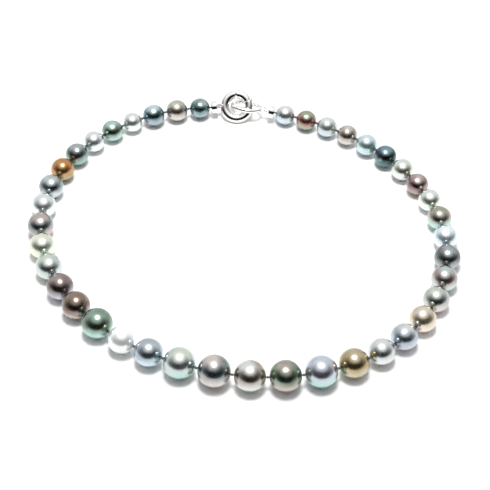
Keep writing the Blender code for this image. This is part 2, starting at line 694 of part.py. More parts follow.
def add_clasp(knots, collection, cutters):
    """All pieces of the clasp. Returns where the thread ends in the left and in the right cap."""
    frame = clasp_frame(knots, collection)
    first = Vector((0.0, 0.0, knots[0].z))
    last = Vector((CLASP_SPAN, 0.0, knots[-1].z))
    outward = Vector((0.0, 1.0, 0.0))

    reach = (PIN_POINT - first).length
    left_pivot = empty_at(
        "left_cap_pivot", frame, frame_matrix(first, PIN_POINT - first, outward), collection
    )
    add_left_cap(left_pivot, reach, collection, cutters)
    add_crimp("thread_crimp_left", left_pivot, collection)

    heading = Vector((math.cos(RING_HEADING), math.sin(RING_HEADING), 0.0))
    ring_turn = frame_matrix(PIN_POINT, heading, outward) @ Matrix.Rotation(RING_LEAN, 4, "X")
    ring_pivot = empty_at("ring_pivot", frame, ring_turn, collection)
    ring_frame = empty_at("ring_frame", ring_pivot, Matrix.Translation((PIN_OFFSET, 0.0, 0.0)), collection)
    add_ring_body(ring_frame, collection, cutters)
    add_pins(ring_frame, collection)

    hinge = polar(HINGE_OFFSET, GATE_HINGE_ANGLE)
    gate_frame = empty_at("gate_pivot", ring_frame, Matrix.Translation(hinge), collection)
    add_gate(gate_frame, Matrix.Translation(-hinge), collection, cutters)

    swing = PIN_POINT + heading * (PIN_OFFSET + RING_RADIUS)
    loop_ahead = Vector((math.cos(LOOP_HEADING), math.sin(LOOP_HEADING), 0.0))
    loop_turn = frame_matrix(swing, loop_ahead, outward) @ Matrix.Rotation(LOOP_LEAN, 4, "X")
    loop_pivot = empty_at("loop_pivot", frame, loop_turn, collection)
    points, radii = loop_outline()
    tube("clasp_loop", points, radii, True, white_gold(), loop_pivot, collection)

    loop_end = swing + loop_ahead * LOOP_FRONT
    inner = LINK_RADIUS - LINK_WIRE
    link_middle = loop_end + loop_ahead * (inner - LOOP_END_WIRE - 0.2 * MM)
    link_turn = frame_matrix(loop_end, loop_ahead, outward) @ Matrix.Rotation(math.radians(90.0), 4, "X")
    link_pivot = empty_at("link_pivot", frame, link_turn, collection)
    link = ring_mesh("link", LINK_RADIUS, LINK_WIRE, LINK_WIRE, 24, 8)
    link.transform(Matrix.Translation(((link_middle - loop_end).length, 0.0, 0.0)))
    new_object("jump_ring", link, white_gold(), link_pivot, collection)

    eye_middle = link_middle + loop_ahead * LINK_RADIUS
    back_to_eye = eye_middle - last
    right_pivot = empty_at(
        "right_cap_pivot", frame, frame_matrix(last, back_to_eye, -outward), collection
    )
    add_right_cap(right_pivot, back_to_eye.length, collection, cutters)
    add_crimp("thread_crimp_right", right_pivot, collection)

    thread_in = END_GAP / 2.0 + CAP_WALL + CRIMP_LENGTH + 0.3 * MM
    bpy.context.view_layer.update()
    inside = Vector((thread_in, 0.0, 0.0))
    return left_pivot.matrix_world @ inside, right_pivot.matrix_world @ inside


def main():
    clear_scene()
    parts = new_collection("pearl_necklace")
    cutters = new_collection("pearl_necklace_cutters")
    knots = knot_places()
    for number in range(1, len(PEARL_COLOURS) + 1):
        add_pearl(number, knots, parts)
    left_end, right_end = add_clasp(knots, parts, cutters)
    add_thread(knots, left_end, right_end, parts)
    bpy.context.view_layer.update()


main()
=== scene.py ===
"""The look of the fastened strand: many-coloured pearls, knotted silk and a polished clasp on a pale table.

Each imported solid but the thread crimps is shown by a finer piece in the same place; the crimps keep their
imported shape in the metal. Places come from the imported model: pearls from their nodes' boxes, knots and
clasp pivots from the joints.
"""

import json
import math

import bmesh
import bpy
from mathutils import Matrix, Vector, noise

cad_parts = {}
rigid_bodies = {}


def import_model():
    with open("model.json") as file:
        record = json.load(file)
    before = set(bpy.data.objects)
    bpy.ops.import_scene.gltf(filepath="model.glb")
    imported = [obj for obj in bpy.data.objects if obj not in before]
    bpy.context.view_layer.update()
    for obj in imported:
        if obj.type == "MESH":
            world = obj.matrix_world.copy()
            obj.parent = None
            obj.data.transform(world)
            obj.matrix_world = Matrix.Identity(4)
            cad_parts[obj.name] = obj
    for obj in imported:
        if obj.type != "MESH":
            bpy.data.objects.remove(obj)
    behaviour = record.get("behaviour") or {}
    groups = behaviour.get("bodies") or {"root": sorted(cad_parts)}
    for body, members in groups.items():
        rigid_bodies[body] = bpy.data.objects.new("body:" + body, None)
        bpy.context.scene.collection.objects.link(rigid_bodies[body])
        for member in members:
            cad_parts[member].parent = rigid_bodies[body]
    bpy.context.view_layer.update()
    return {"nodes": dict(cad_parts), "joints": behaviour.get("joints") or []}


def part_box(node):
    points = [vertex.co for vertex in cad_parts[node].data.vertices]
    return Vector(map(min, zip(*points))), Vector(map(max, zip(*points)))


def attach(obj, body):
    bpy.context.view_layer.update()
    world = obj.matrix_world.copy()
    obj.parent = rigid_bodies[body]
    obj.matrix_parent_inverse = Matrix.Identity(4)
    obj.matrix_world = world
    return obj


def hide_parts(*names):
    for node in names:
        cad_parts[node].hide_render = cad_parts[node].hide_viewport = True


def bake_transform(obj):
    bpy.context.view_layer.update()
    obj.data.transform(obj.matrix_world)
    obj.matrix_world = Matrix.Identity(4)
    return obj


MM = 0.001
PER_MM = 1000.0
UP = Vector((0.0, 0.0, 1.0))

# Camera: how far it stands from the point it looks at, and how high.
CAMERA_TARGET = Vector((1.1 * MM, -2.6 * MM, 0.0))
CAMERA_DISTANCE = 0.6
CAMERA_ELEVATION = math.radians(47.0)
CAMERA_LENS = 115.3

# Studio light.
SOFTBOX_HEIGHT = 0.8
SOFTBOX_WIDTH = 0.25
SOFTBOX_POWER = 6.0
WALL_LIGHT = (0.40, 0.40, 0.41, 1.0)
BACK_WALL_LIGHT = (0.95, 0.95, 0.96, 1.0)
CEILING_LIGHT = (1.0, 1.0, 1.0, 1.0)
# The dark room behind the viewer: the sine of the height of its middle, and its half width and half height.
DARK_ROOM_LIGHT = (0.004, 0.004, 0.004, 1.0)
DARK_ROOM_MIDDLE = 0.36
DARK_ROOM_HALF_WIDTH = 1.0
DARK_ROOM_HALF_HEIGHT = 0.38
DARK_ROOM_CORE = 0.7
DARK_ROOM_RIM = 1.25
# Each light zone starts at the first value of a direction's part, and is whole at the second.
DARK_ROOM_AHEAD = (0.1, -0.3)
BACK_WALL_ZONE = (-0.1, 0.5)
CEILING_ZONE = (0.7, 0.88)
FLOOR_SIZE = 12.0

# Hues of nacre (linear red, green, blue).
HUES = {
    "ink": (0.035, 0.045, 0.05),
    "graphite": (0.13, 0.15, 0.155),
    "slate": (0.19, 0.23, 0.24),
    "teal": (0.08, 0.17, 0.17),
    "moss": (0.15, 0.20, 0.14),
    "brown": (0.15, 0.11, 0.09),
    "plum": (0.20, 0.12, 0.14),
    "cherry": (0.34, 0.13, 0.13),
    "copper": (0.48, 0.24, 0.09),
    "gold": (0.36, 0.27, 0.13),
    "taupe": (0.36, 0.32, 0.27),
    "dusk": (0.18, 0.28, 0.33),
    "clay": (0.36, 0.28, 0.26),
    "umber": (0.30, 0.22, 0.17),
    "fern": (0.28, 0.40, 0.34),
    "willow": (0.34, 0.39, 0.28),
    "ash": (0.38, 0.42, 0.42),
    "steel": (0.34, 0.41, 0.46),
    "blush": (0.50, 0.42, 0.39),
    "sand": (0.54, 0.47, 0.34),
    "fog": (0.52, 0.57, 0.57),
    "lilac": (0.50, 0.50, 0.58),
    "seafoam": (0.42, 0.60, 0.57),
    "sage": (0.62, 0.68, 0.58),
    "shell": (0.64, 0.58, 0.55),
    "ice": (0.58, 0.68, 0.73),
    "silver": (0.68, 0.71, 0.70),
    "cream": (0.80, 0.78, 0.67),
    "peach": (0.78, 0.70, 0.62),
    "pearl": (0.86, 0.88, 0.87),
}
# Each pearl, from the left of the clasp to the right of it: crown, belly, foot and rim hue, and how
# metallic its lustre is. Crown, belly and foot are partly the pearl's own hues and partly painted light: on
# most pearls the crown and foot are lighter as painted reflections of the bright walls and table, and the
# belly is darker as a painted dark reflection of the room.
LOOKS = (
    ("fog", "teal", "steel", "seafoam", 1.0),
    ("sage", "taupe", "shell", "sage", 0.97),
    ("ice", "teal", "steel", "lilac", 1.0),
    ("silver", "silver", "pearl", "silver", 0.9),
    ("seafoam", "moss", "seafoam", "sage", 1.0),
    ("silver", "silver", "pearl", "ice", 0.92),
    ("ash", "graphite", "fern", "seafoam", 1.0),
    ("copper", "copper", "gold", "sand", 1.0),
    ("fog", "slate", "fog", "ice", 1.0),
    ("silver", "silver", "pearl", "ice", 0.9),
    ("blush", "slate", "blush", "lilac", 1.0),
    ("cream", "sage", "cream", "sage", 0.9),
    ("sage", "fog", "sage", "seafoam", 0.98),
    ("clay", "brown", "lilac", "steel", 1.0),
    ("umber", "brown", "clay", "sage", 1.0),
    ("fern", "moss", "seafoam", "fern", 1.0),
    ("pearl", "pearl", "pearl", "cream", 0.6),
    ("fog", "steel", "ice", "lilac", 0.98),
    ("sage", "fog", "seafoam", "sage", 0.97),
    ("shell", "slate", "shell", "blush", 1.0),
    ("silver", "taupe", "silver", "sand", 0.99),
    ("blush", "moss", "blush", "fern", 1.0),
    ("ice", "lilac", "seafoam", "ice", 0.97),
    ("sand", "gold", "sand", "willow", 1.0),
    ("silver", "fog", "silver", "shell", 0.97),
    ("silver", "steel", "lilac", "silver", 0.98),
    ("peach", "sand", "peach", "shell", 0.95),
    ("sage", "ash", "shell", "blush", 1.0),
    ("fog", "clay", "fog", "seafoam", 0.98),
    ("ash", "graphite", "ash", "clay", 0.98),
    ("pearl", "ice", "pearl", "ice", 0.8),
    ("willow", "taupe", "seafoam", "sage", 1.0),
    ("silver", "sage", "pearl", "cream", 0.93),
    ("blush", "plum", "clay", "shell", 1.0),
    ("silver", "sage", "silver", "cream", 0.95),
    ("dusk", "ink", "teal", "seafoam", 1.0),
    ("ice", "seafoam", "ice", "pearl", 0.85),
    ("shell", "taupe", "shell", "sage", 0.97),
    ("silver", "fog", "ice", "sage", 0.85),
    ("willow", "cherry", "willow", "blush", 0.99),
    ("pearl", "fog", "ice", "lilac", 0.92),
)

# Nacre: where each hue begins and ends, as shares of the pearl's radius above its middle, and its gloss.
# The crown and foot bands carry painted reflections, and the belly between them a darker painted
# reflection.
HUE_DRIFT = 0.18
FOOT_REFLECTION_BAND = (-0.1, 0.45)
CROWN_REFLECTION_BAND = (0.66, 1.0)
RIM_PATCHES = (0.5, 0.78)
NACRE_ROUGHNESS = (0.21, 0.29)
COAT_WEIGHT = 0.35
COAT_ROUGHNESS = 0.12
NACRE_IOR = 1.53
SHEEN_WEIGHT = 0.22
SHEEN_ROUGHNESS = 0.35

# Pearl shape.
PEARL_SIDES = 48
PEARL_BANDS = 34
DRILL_RADIUS = 0.6 * MM
DRILL_LIP = 0.12 * MM
DRILL_DEPTH = 1.5 * MM
SURFACE_WAVER = 0.006

# Thread and knots.
THREAD_RADIUS = 0.24 * MM
KNOT_REACH = 0.34 * MM
KNOT_RADIUS = 0.36 * MM
KNOT_TURNS = 2.5
KNOT_STEPS = 30
END_KNOT_SIZE = 0.55
END_GAP = 0.7 * MM

# Clasp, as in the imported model.
CAP_RADIUS = 2.75 * MM
CAP_LENGTH = 2.35 * MM
CAP_WALL = 0.6 * MM
CAVITY_RADIUS = 1.55 * MM
GAP = 0.3 * MM
RING_RADIUS = 5.0 * MM
RING_HALF_WIDTH = 1.85 * MM
RING_HALF_DEPTH = 1.45 * MM
PIN_RADIUS = 0.4 * MM
PIN_OFFSET = 5.95 * MM
TONGUE_RADIUS = 1.1 * MM
TONGUE_HALF = 0.45 * MM
TONGUE_SLOT_HALF = 1.9 * MM
GATE_HINGE_ANGLE = math.radians(28.0)
GATE_FREE_ANGLE = math.radians(97.0)
FREE_GAP = 0.8 * MM
HINGE_OFFSET = RING_RADIUS + 1.25 * MM
KNUCKLE_RADIUS = 0.75 * MM
KNUCKLE_HALF = 0.4 * MM
ARM_HALF = 0.9 * KNUCKLE_HALF
HINGE_PIN_RADIUS = 0.25 * MM
CATCH_HALF = 0.5 * MM
CATCH_LENGTH = 1.4 * MM
CATCH_ROOT = 0.9 * MM
CATCH_INNER = RING_RADIUS - 0.6 * MM
CATCH_OUTER = RING_RADIUS + 1.2 * MM
LOOP_LEAN = math.radians(-14.0)
LOOP_WIRE = 1.05 * MM
LOOP_END_WIRE = 0.55 * MM
LOOP_HALF_WIDTH = 3.45 * MM
LOOP_BACK = 6.8 * MM
LOOP_FRONT = 5.2 * MM
LINK_RADIUS = 1.6 * MM
LINK_WIRE = 0.24 * MM
EYE_RADIUS = 0.8 * MM
EYE_WIRE = 0.28 * MM
EDGE = 0.12 * MM
CAP_EDGE = 0.3 * MM
CUT_EDGE = 0.01 * MM
OVERLAP = 0.3 * MM
THREAD_IN_CAP = 0.9 * MM
MOUTH_SHARE = 0.95
SHARP_ANGLE = math.radians(38.0)


# ---------------------------------------------------------------- node helpers

def new_material(name):
    """Return a material with its node tree, and its Principled shader."""
    mat = bpy.data.materials.new(name)
    mat.use_nodes = True
    return mat, mat.node_tree, mat.node_tree.nodes["Principled BSDF"]


def add_node(tree, kind, **settings):
    """Add a node and set its plain properties."""
    node = tree.nodes.new(kind)
    for name, value in settings.items():
        setattr(node, name, value)
    return node


def object_coordinates(tree, scale):
    """Object coordinates multiplied by scale."""
    source = add_node(tree, "ShaderNodeTexCoord")
    mapping = add_node(tree, "ShaderNodeMapping")
    mapping.inputs["Scale"].default_value = (scale, scale, scale)
    tree.links.new(source.outputs["Object"], mapping.inputs["Vector"])
    return mapping.outputs["Vector"]


def noise_texture(tree, vector, scale, detail=3.0, roughness=0.5, distortion=0.0):
    """Noise driven by vector."""
    node = add_node(tree, "ShaderNodeTexNoise")
    node.inputs["Scale"].default_value = scale
    node.inputs["Detail"].default_value = detail
    node.inputs["Roughness"].default_value = roughness
    node.inputs["Distortion"].default_value = distortion
    tree.links.new(vector, node.inputs["Vector"])
    return node.outputs["Fac"]


def value_range(tree, value, low, high, from_low=0.3, from_high=0.7):
    """Value spread over low to high."""
    node = add_node(tree, "ShaderNodeMapRange")
    node.inputs["From Min"].default_value = from_low
    node.inputs["From Max"].default_value = from_high
    node.inputs["To Min"].default_value = low
    node.inputs["To Max"].default_value = high
    tree.links.new(value, node.inputs["Value"])
    return node.outputs["Result"]


def smooth_range(tree, value, zero_at, one_at):
    """Smooth step that is 0 where value is zero_at and 1 where it is one_at."""
    node = add_node(tree, "ShaderNodeMapRange", interpolation_type="SMOOTHSTEP")
    node.inputs["From Min"].default_value = zero_at
    node.inputs["From Max"].default_value = one_at
    tree.links.new(value, node.inputs["Value"])
    return node.outputs["Result"]


def mix_colours(tree, factor, first, second):
    """Mix of two colours, each a socket or a plain colour."""
    node = add_node(tree, "ShaderNodeMix", data_type="RGBA")
    tree.links.new(factor, node.inputs["Factor"])
    for socket, colour in ((node.inputs[6], first), (node.inputs[7], second)):
        if isinstance(colour, tuple):
            socket.default_value = (*colour, 1.0)
        else:
            tree.links.new(colour, socket)
    return node.outputs[2]


def bump(tree, shader, height, strength, distance):
    """Bump a shader's surface by height."""
    node = add_node(tree, "ShaderNodeBump")
    node.inputs["Strength"].default_value = strength
    node.inputs["Distance"].default_value = distance
    tree.links.new(height, node.inputs["Height"])
    tree.links.new(node.outputs["Normal"], shader.inputs["Normal"])


# ---------------------------------------------------------------- materials

def nacre(number, radius, look):
    """Layered pearl surface whose hue drifts from crown to foot, with patches of its rim hue. The hues are
    partly the pearl's own and partly painted light: lighter painted reflections at the crown and foot, and
    a darker painted reflection at the belly.
    """
    crown_with_reflection, belly_with_dark_reflection, foot_with_reflection, rim, metallic = look
    mat, tree, shader = new_material(f"nacre_{number:02d}_{belly_with_dark_reflection}_{foot_with_reflection}")
    unit = object_coordinates(tree, 1.0 / radius)
    offset = add_node(tree, "ShaderNodeVectorMath", operation="ADD")
    offset.inputs[1].default_value = (1.7 * number, 0.9 * number, 0.0)
    tree.links.new(unit, offset.inputs[0])
    seeded = offset.outputs["Vector"]

    height = add_node(tree, "ShaderNodeSeparateXYZ")
    tree.links.new(unit, height.inputs["Vector"])
    drift = value_range(tree, noise_texture(tree, seeded, 0.8, 2.0), -HUE_DRIFT, HUE_DRIFT)
    level = add_node(tree, "ShaderNodeMath", operation="ADD")
    tree.links.new(height.outputs["Z"], level.inputs[0])
    tree.links.new(drift, level.inputs[1])
    # Painted light: the foot and crown hues paint lighter reflections and the belly hue a darker
    # reflection, over the pearl's own hues.
    belly_reflection_share = value_range(tree, level.outputs["Value"], 0.0, 1.0, *FOOT_REFLECTION_BAND)
    lower = mix_colours(tree, belly_reflection_share, HUES[foot_with_reflection], HUES[belly_with_dark_reflection])
    crown_reflection_share = value_range(tree, level.outputs["Value"], 0.0, 1.0, *CROWN_REFLECTION_BAND)
    body = mix_colours(tree, crown_reflection_share, lower, HUES[crown_with_reflection])
    blotches = noise_texture(tree, seeded, 1.5, 3.0, 0.55, 0.6)
    patches = value_range(tree, blotches, 0.0, 0.5, *RIM_PATCHES)
    tinted = mix_colours(tree, patches, body, HUES[rim])
    tree.links.new(tinted, shader.inputs["Base Color"])

    roughness = value_range(tree, noise_texture(tree, seeded, 3.0, 4.0), *NACRE_ROUGHNESS)
    tree.links.new(roughness, shader.inputs["Roughness"])
    bump(tree, shader, noise_texture(tree, seeded, 5.0, 5.0, 0.6), 0.06, 0.1 * MM)
    shader.inputs["Metallic"].default_value = metallic
    shader.inputs["Specular Tint"].default_value = (*lighter(HUES[rim]), 1.0)
    shader.inputs["Coat Weight"].default_value = COAT_WEIGHT
    shader.inputs["Coat Roughness"].default_value = COAT_ROUGHNESS
    shader.inputs["Coat IOR"].default_value = NACRE_IOR
    shader.inputs["Sheen Weight"].default_value = SHEEN_WEIGHT
    shader.inputs["Sheen Roughness"].default_value = SHEEN_ROUGHNESS
    shader.inputs["Sheen Tint"].default_value = (*lighter(HUES[rim]), 1.0)
    return mat


def lighter(colour):
    """A pale version of a colour."""
    return tuple(0.35 + 0.65 * part ** 0.5 for part in colour)


def white_gold():
    """Polished white metal with faint wear lines."""
    mat, tree, shader = new_material("polished_white_gold")
    place = object_coordinates(tree, PER_MM)
    shade = noise_texture(tree, place, 0.35, 3.0)
    tone = mix_colours(tree, value_range(tree, shade, 0.0, 1.0), (0.86, 0.85, 0.83), (0.95, 0.94, 0.92))
    tree.links.new(tone, shader.inputs["Base Color"])
    wear = noise_texture(tree, place, 2.2, 6.0, 0.65)
    tree.links.new(value_range(tree, wear, 0.06, 0.16), shader.inputs["Roughness"])
    bump(tree, shader, noise_texture(tree, place, 7.0, 6.0, 0.7), 0.03, 0.03 * MM)
    shader.inputs["Metallic"].default_value = 1.0
    return mat


def silk():
    """Dark grey twisted silk."""
    mat, tree, shader = new_material("grey_silk")
    place = object_coordinates(tree, PER_MM)
    fibre = noise_texture(tree, place, 5.0, 4.0, 0.7)
    tone = mix_colours(tree, value_range(tree, fibre, 0.0, 1.0), (0.05, 0.05, 0.055), (0.16, 0.155, 0.15))
    tree.links.new(tone, shader.inputs["Base Color"])
    bump(tree, shader, fibre, 0.5, 0.06 * MM)
    shader.inputs["Roughness"].default_value = 0.75
    shader.inputs["Sheen Weight"].default_value = 0.3
    return mat


def table_top():
    """Matt white table."""
    mat, tree, shader = new_material("white_table")
    place = object_coordinates(tree, 1.0)
    grain = noise_texture(tree, place, 400.0, 2.0)
    tone = mix_colours(tree, value_range(tree, grain, 0.0, 1.0), (0.90, 0.90, 0.90), (0.92, 0.92, 0.92))
    tree.links.new(tone, shader.inputs["Base Color"])
    shader.inputs["Roughness"].default_value = 0.6
    shader.inputs["Specular IOR Level"].default_value = 0.2
    return mat


# ---------------------------------------------------------------- mesh helpers

def finished_mesh(name, shell):
    """Turn a bmesh into a smooth mesh with sharp edges kept sharp."""
    bmesh.ops.recalc_face_normals(shell, faces=shell.faces)
    mesh = bpy.data.meshes.new(name)
    shell.to_mesh(mesh)
    shell.free()
    mesh.shade_smooth()
    mesh.set_sharp_from_angle(angle=SHARP_ANGLE)
    return mesh


def add_piece(name, mesh, mat, body, nodes, matrix=None):
    """Show a mesh that moves with a body and stands for some CAD nodes."""
    obj = bpy.data.objects.new(name, mesh)
    bpy.context.scene.collection.objects.link(obj)
    mesh.materials.clear()
    mesh.materials.append(mat)
    if matrix is not None:
        obj.matrix_world = matrix
    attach(obj, body)
    if nodes:
        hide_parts(*nodes)
    return obj


def bridge(shell, first, second):
    """Close the band between two loops of points."""
    count = len(first)
    for n in range(count):
        m = (n + 1) % count
        shell.faces.new((first[n], first[m], second[m], second[n]))


def swept(shell, centres, radii, sides, closed):
    """Sweep a round section along centres."""
    count = len(centres)
    loops = []
    normal = None
    for n, centre in enumerate(centres):
        if closed:
            forward = (centres[(n + 1) % count] - centres[n - 1]).normalized()
        else:
            forward = (centres[min(n + 1, count - 1)] - centres[max(n - 1, 0)]).normalized()
        if normal is None:
            normal = forward.orthogonal().normalized()
        normal = (normal - forward * normal.dot(forward)).normalized()
        side = forward.cross(normal)
        ring = []
        for k in range(sides):
            turn = 2.0 * math.pi * k / sides
            around = normal * math.cos(turn) + side * math.sin(turn)
            ring.append(shell.verts.new(centre + around * radii[n]))
        loops.append(ring)
    for first, second in zip(loops, loops[1:]):
        bridge(shell, first, second)
    if not closed:
        shell.faces.new(loops[0])
        shell.faces.new(loops[-1])
        return
    shift = min(range(sides), key=lambda k: (loops[0][k].co - loops[-1][0].co).length)
    bridge(shell, loops[-1], loops[0][shift:] + loops[0][:shift])


def turned(shell, profile, sides, closed):
    """Turn a profile of (radius, height) points about Z. Points on the axis become one vertex."""
    loops = []
    for radius, height in profile:
        if radius == 0.0:
            loops.append([shell.verts.new((0.0, 0.0, height))])
            continue
        ring = []
        for k in range(sides):
            turn = 2.0 * math.pi * k / sides
            ring.append(shell.verts.new((radius * math.cos(turn), radius * math.sin(turn), height)))
        loops.append(ring)
    pairs = list(zip(loops, loops[1:]))
    if closed:
        pairs.append((loops[-1], loops[0]))
    for first, second in pairs:
        if len(first) == 1 or len(second) == 1:
            tip, ring = (first, second) if len(first) == 1 else (second, first)
            for k in range(sides):
                shell.faces.new((tip[0], ring[k], ring[(k + 1) % sides]))
        else:
            bridge(shell, first, second)


def turned_mesh(name, profile, sides, closed=False):
    """Mesh of a profile turned about Z."""
    shell = bmesh.new()
    turned(shell, profile, sides, closed)
    return finished_mesh(name, shell)


def ring_arc_mesh(name, start, end, segments, sides):
    """Mesh of a ring from angle start to angle end, with an oval section and softened ends."""
    shell = bmesh.new()
    steps = [(start + EDGE * f / RING_RADIUS, 1.0 - d) for f, d in ((0.0, 0.07), (0.4, 0.02), (1.0, 0.0))]
    inner_start, inner_end = start + EDGE / RING_RADIUS, end - EDGE / RING_RADIUS
    for n in range(1, segments):
        steps.append((inner_start + (inner_end - inner_start) * n / segments, 1.0))
    steps += [(end - EDGE * f / RING_RADIUS, 1.0 - d) for f, d in ((1.0, 0.0), (0.4, 0.02), (0.0, 0.07))]
    loops = []
    for angle, share in steps:
        ring = []
        for k in range(sides):
            turn = 2.0 * math.pi * k / sides
            reach = RING_RADIUS + RING_HALF_WIDTH * share * math.cos(turn)
            depth = RING_HALF_DEPTH * share * math.sin(turn)
            ring.append(shell.verts.new((reach * math.cos(angle), reach * math.sin(angle), depth)))
        loops.append(ring)
    for first, second in zip(loops, loops[1:]):
        bridge(shell, first, second)
    shell.faces.new(loops[0])
    shell.faces.new(loops[-1])
    return finished_mesh(name, shell)


def block_mesh(name, low, high, edge):
    """Mesh of a box between two corners, with softened edges."""
    shell = bmesh.new()
    bmesh.ops.create_cube(shell, size=1.0)
    bmesh.ops.scale(shell, vec=high - low, verts=shell.verts)
    bmesh.ops.translate(shell, vec=(low + high) / 2.0, verts=shell.verts)
    if edge:
        bmesh.ops.bevel(shell, geom=shell.edges, offset=edge, segments=2, profile=0.5, affect="EDGES")
    return finished_mesh(name, shell)


def rod_mesh(name, centre, radius, half, edge, sides=32):
    """Mesh of an upright rod with softened rims."""
    profile = [
        (0.0, half),
        (radius - edge, half),
        (radius - 0.3 * edge, half - 0.3 * edge),
        (radius, half - edge),
        (radius, edge - half),
        (radius - 0.3 * edge, 0.3 * edge - half),
        (radius - edge, -half),
        (0.0, -half),
    ]
    mesh = turned_mesh(name, profile, sides)
    mesh.transform(Matrix.Translation(centre))
    return mesh


def combined(base, steps):
    """Mesh that a base mesh becomes after Boolean steps of (operation, mesh), done in millimetres."""
    base.transform(Matrix.Scale(PER_MM, 4))
    body = bpy.data.objects.new("combine_base", base)
    bpy.context.scene.collection.objects.link(body)
    tools = []
    for operation, tool_mesh in steps:
        tool_mesh.transform(Matrix.Scale(PER_MM, 4))
        tool = bpy.data.objects.new("combine_tool", tool_mesh)
        bpy.context.scene.collection.objects.link(tool)
        step = body.modifiers.new("step", "BOOLEAN")
        step.operation = operation
        step.object = tool
        step.solver = "EXACT"
        tools.append(tool)
    bpy.context.view_layer.update()
    result = bpy.data.meshes.new_from_object(body.evaluated_get(bpy.context.evaluated_depsgraph_get()))
    for obj in tools + [body]:
        bpy.data.objects.remove(obj)
    result.transform(Matrix.Scale(1.0 / PER_MM, 4))
    result.shade_smooth()
    result.set_sharp_from_angle(angle=SHARP_ANGLE)
    return result


def smooth_loop(points, per_span):
    """Closed Catmull-Rom curve through points, with per_span points from each to the next."""
    made = []
    count = len(points)
    for n in range(count):
        before, here, there, after = (points[(n + k) % count] for k in (-1, 0, 1, 2))
        for k in range(per_span):
            t = k / per_span
            made.append(0.5 * (
                2.0 * here
                + (there - before) * t
                + (2.0 * before - 5.0 * here + 4.0 * there - after) * t ** 2
                + (3.0 * here - before - 3.0 * there + after) * t ** 3
            ))
    return made


def frame_matrix(origin, forward, side):
    """Matrix whose X axis is forward, whose Z axis is square to X and side, and which sits at origin."""
    x_axis = forward.normalized()
    z_axis = x_axis.cross(side).normalized()
    y_axis = z_axis.cross(x_axis)
    turn = Matrix((x_axis, y_axis, z_axis)).transposed().to_4x4()
    return Matrix.Translation(origin) @ turn


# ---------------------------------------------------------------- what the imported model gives


def joint_place(frame, name):
    """Place and axis of a joint."""
    joint = next(joint for joint in frame["joints"] if joint["name"] == name)
    return Vector(joint["pos_m"]), Vector(joint["axis"])


def pearl_nodes(frame):
    """CAD nodes of the pearls in strand order."""
    return sorted(name for name in frame["nodes"] if name.startswith("pearl_"))


def pearl_places(nodes):
    """Centre and radius of each pearl."""
    places = []
    for node in nodes:
        low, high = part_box(node)
        centre = (low + high) / 2.0
        reach = max((vert.co - centre).length for vert in bpy.data.objects[node].data.vertices)
        places.append((centre, reach))
    return places


def knot_places(frame, places):
    """Knots from the left cap to the right cap."""
    found = {}
    for joint in frame["joints"]:
        parent, child = joint["parent"], joint["child"]
        if child.startswith("pearl_"):
            numbers = (int(parent[6:]), int(child[6:]))
            found[min(numbers)] = Vector(joint["pos_m"])
    found[0] = joint_place(frame, "left_cap_swing")[0]
    last = len(places)
    centre, radius = places[-1]
    found[last] = centre + (centre - found[last - 1]).normalized() * (radius + END_GAP / 2.0)
    return [found[n] for n in range(last + 1)]


# ---------------------------------------------------------------- pearls and thread

def pearl_mesh(number, radius, along):
    """Mesh of one drilled pearl about its centre, very slightly out of round."""
    profile = [
        (DRILL_RADIUS, radius - DRILL_DEPTH),
        (DRILL_RADIUS, radius - DRILL_LIP - 0.05 * MM),
        (DRILL_RADIUS + 0.3 * DRILL_LIP, radius - 0.45 * DRILL_LIP - 0.05 * MM),
    ]
    rim = math.asin((DRILL_RADIUS + DRILL_LIP) / radius)
    for band in range(PEARL_BANDS + 1):
        turn = rim + (math.pi - 2.0 * rim) * band / PEARL_BANDS
        profile.append((radius * math.sin(turn), radius * math.cos(turn)))
    profile += [(reach, -height) for reach, height in reversed(profile[:3])]
    shell = bmesh.new()
    turned(shell, profile, PEARL_SIDES, closed=True)
    seed = Vector((3.1 * number, 1.7 * number, 0.6 * number))
    turn = along.to_track_quat("Z", "Y").to_matrix()
    for vert in shell.verts:
        reach = vert.co.length / radius
        waver = noise.noise(vert.co / radius * 0.9 + seed) * SURFACE_WAVER
        ripple = noise.noise(vert.co / radius * 3.5 + seed) * SURFACE_WAVER * 0.2
        if reach > 0.97:
            vert.co *= 1.0 + waver + ripple - 0.5 * SURFACE_WAVER
        vert.co = turn @ vert.co
    return finished_mesh(f"pearl_{number:02d}", shell)


def add_pearls(nodes, places, knots):
    """Every pearl in its own nacre."""
    for index, (node, (centre, radius)) in enumerate(zip(nodes, places)):
        number = index + 1
        along = (knots[number] - knots[index]).normalized()
        mesh = pearl_mesh(number, radius, along)
        mat = nacre(number, radius, LOOKS[index])
        add_piece(
            f"nacre_pearl_{number:02d}", mesh, mat, f"pearl_{number:02d}", [node],
            Matrix.Translation(centre),
        )


def knot_path(start, knot, end, spin, size):
    """Centre line of the thread from start to end, wound into a small knot on the way."""
    reach = KNOT_REACH * size
    along = (end - start).normalized()
    side = along.orthogonal().normalized()
    other = along.cross(side)
    points = [start, knot - along * (reach + THREAD_RADIUS)]
    for step in range(KNOT_STEPS + 1):
        share = step / KNOT_STEPS
        turn = 2.0 * math.pi * KNOT_TURNS * share + spin
        out = KNOT_RADIUS * size * math.sin(math.pi * share) ** 0.6
        around = side * math.cos(turn) + other * math.sin(turn)
        points.append(knot + along * reach * (2.0 * share - 1.0) + around * out)
    if (end - knot).length > reach + THREAD_RADIUS:
        points.append(knot + along * (reach + THREAD_RADIUS))
    return points + [end]


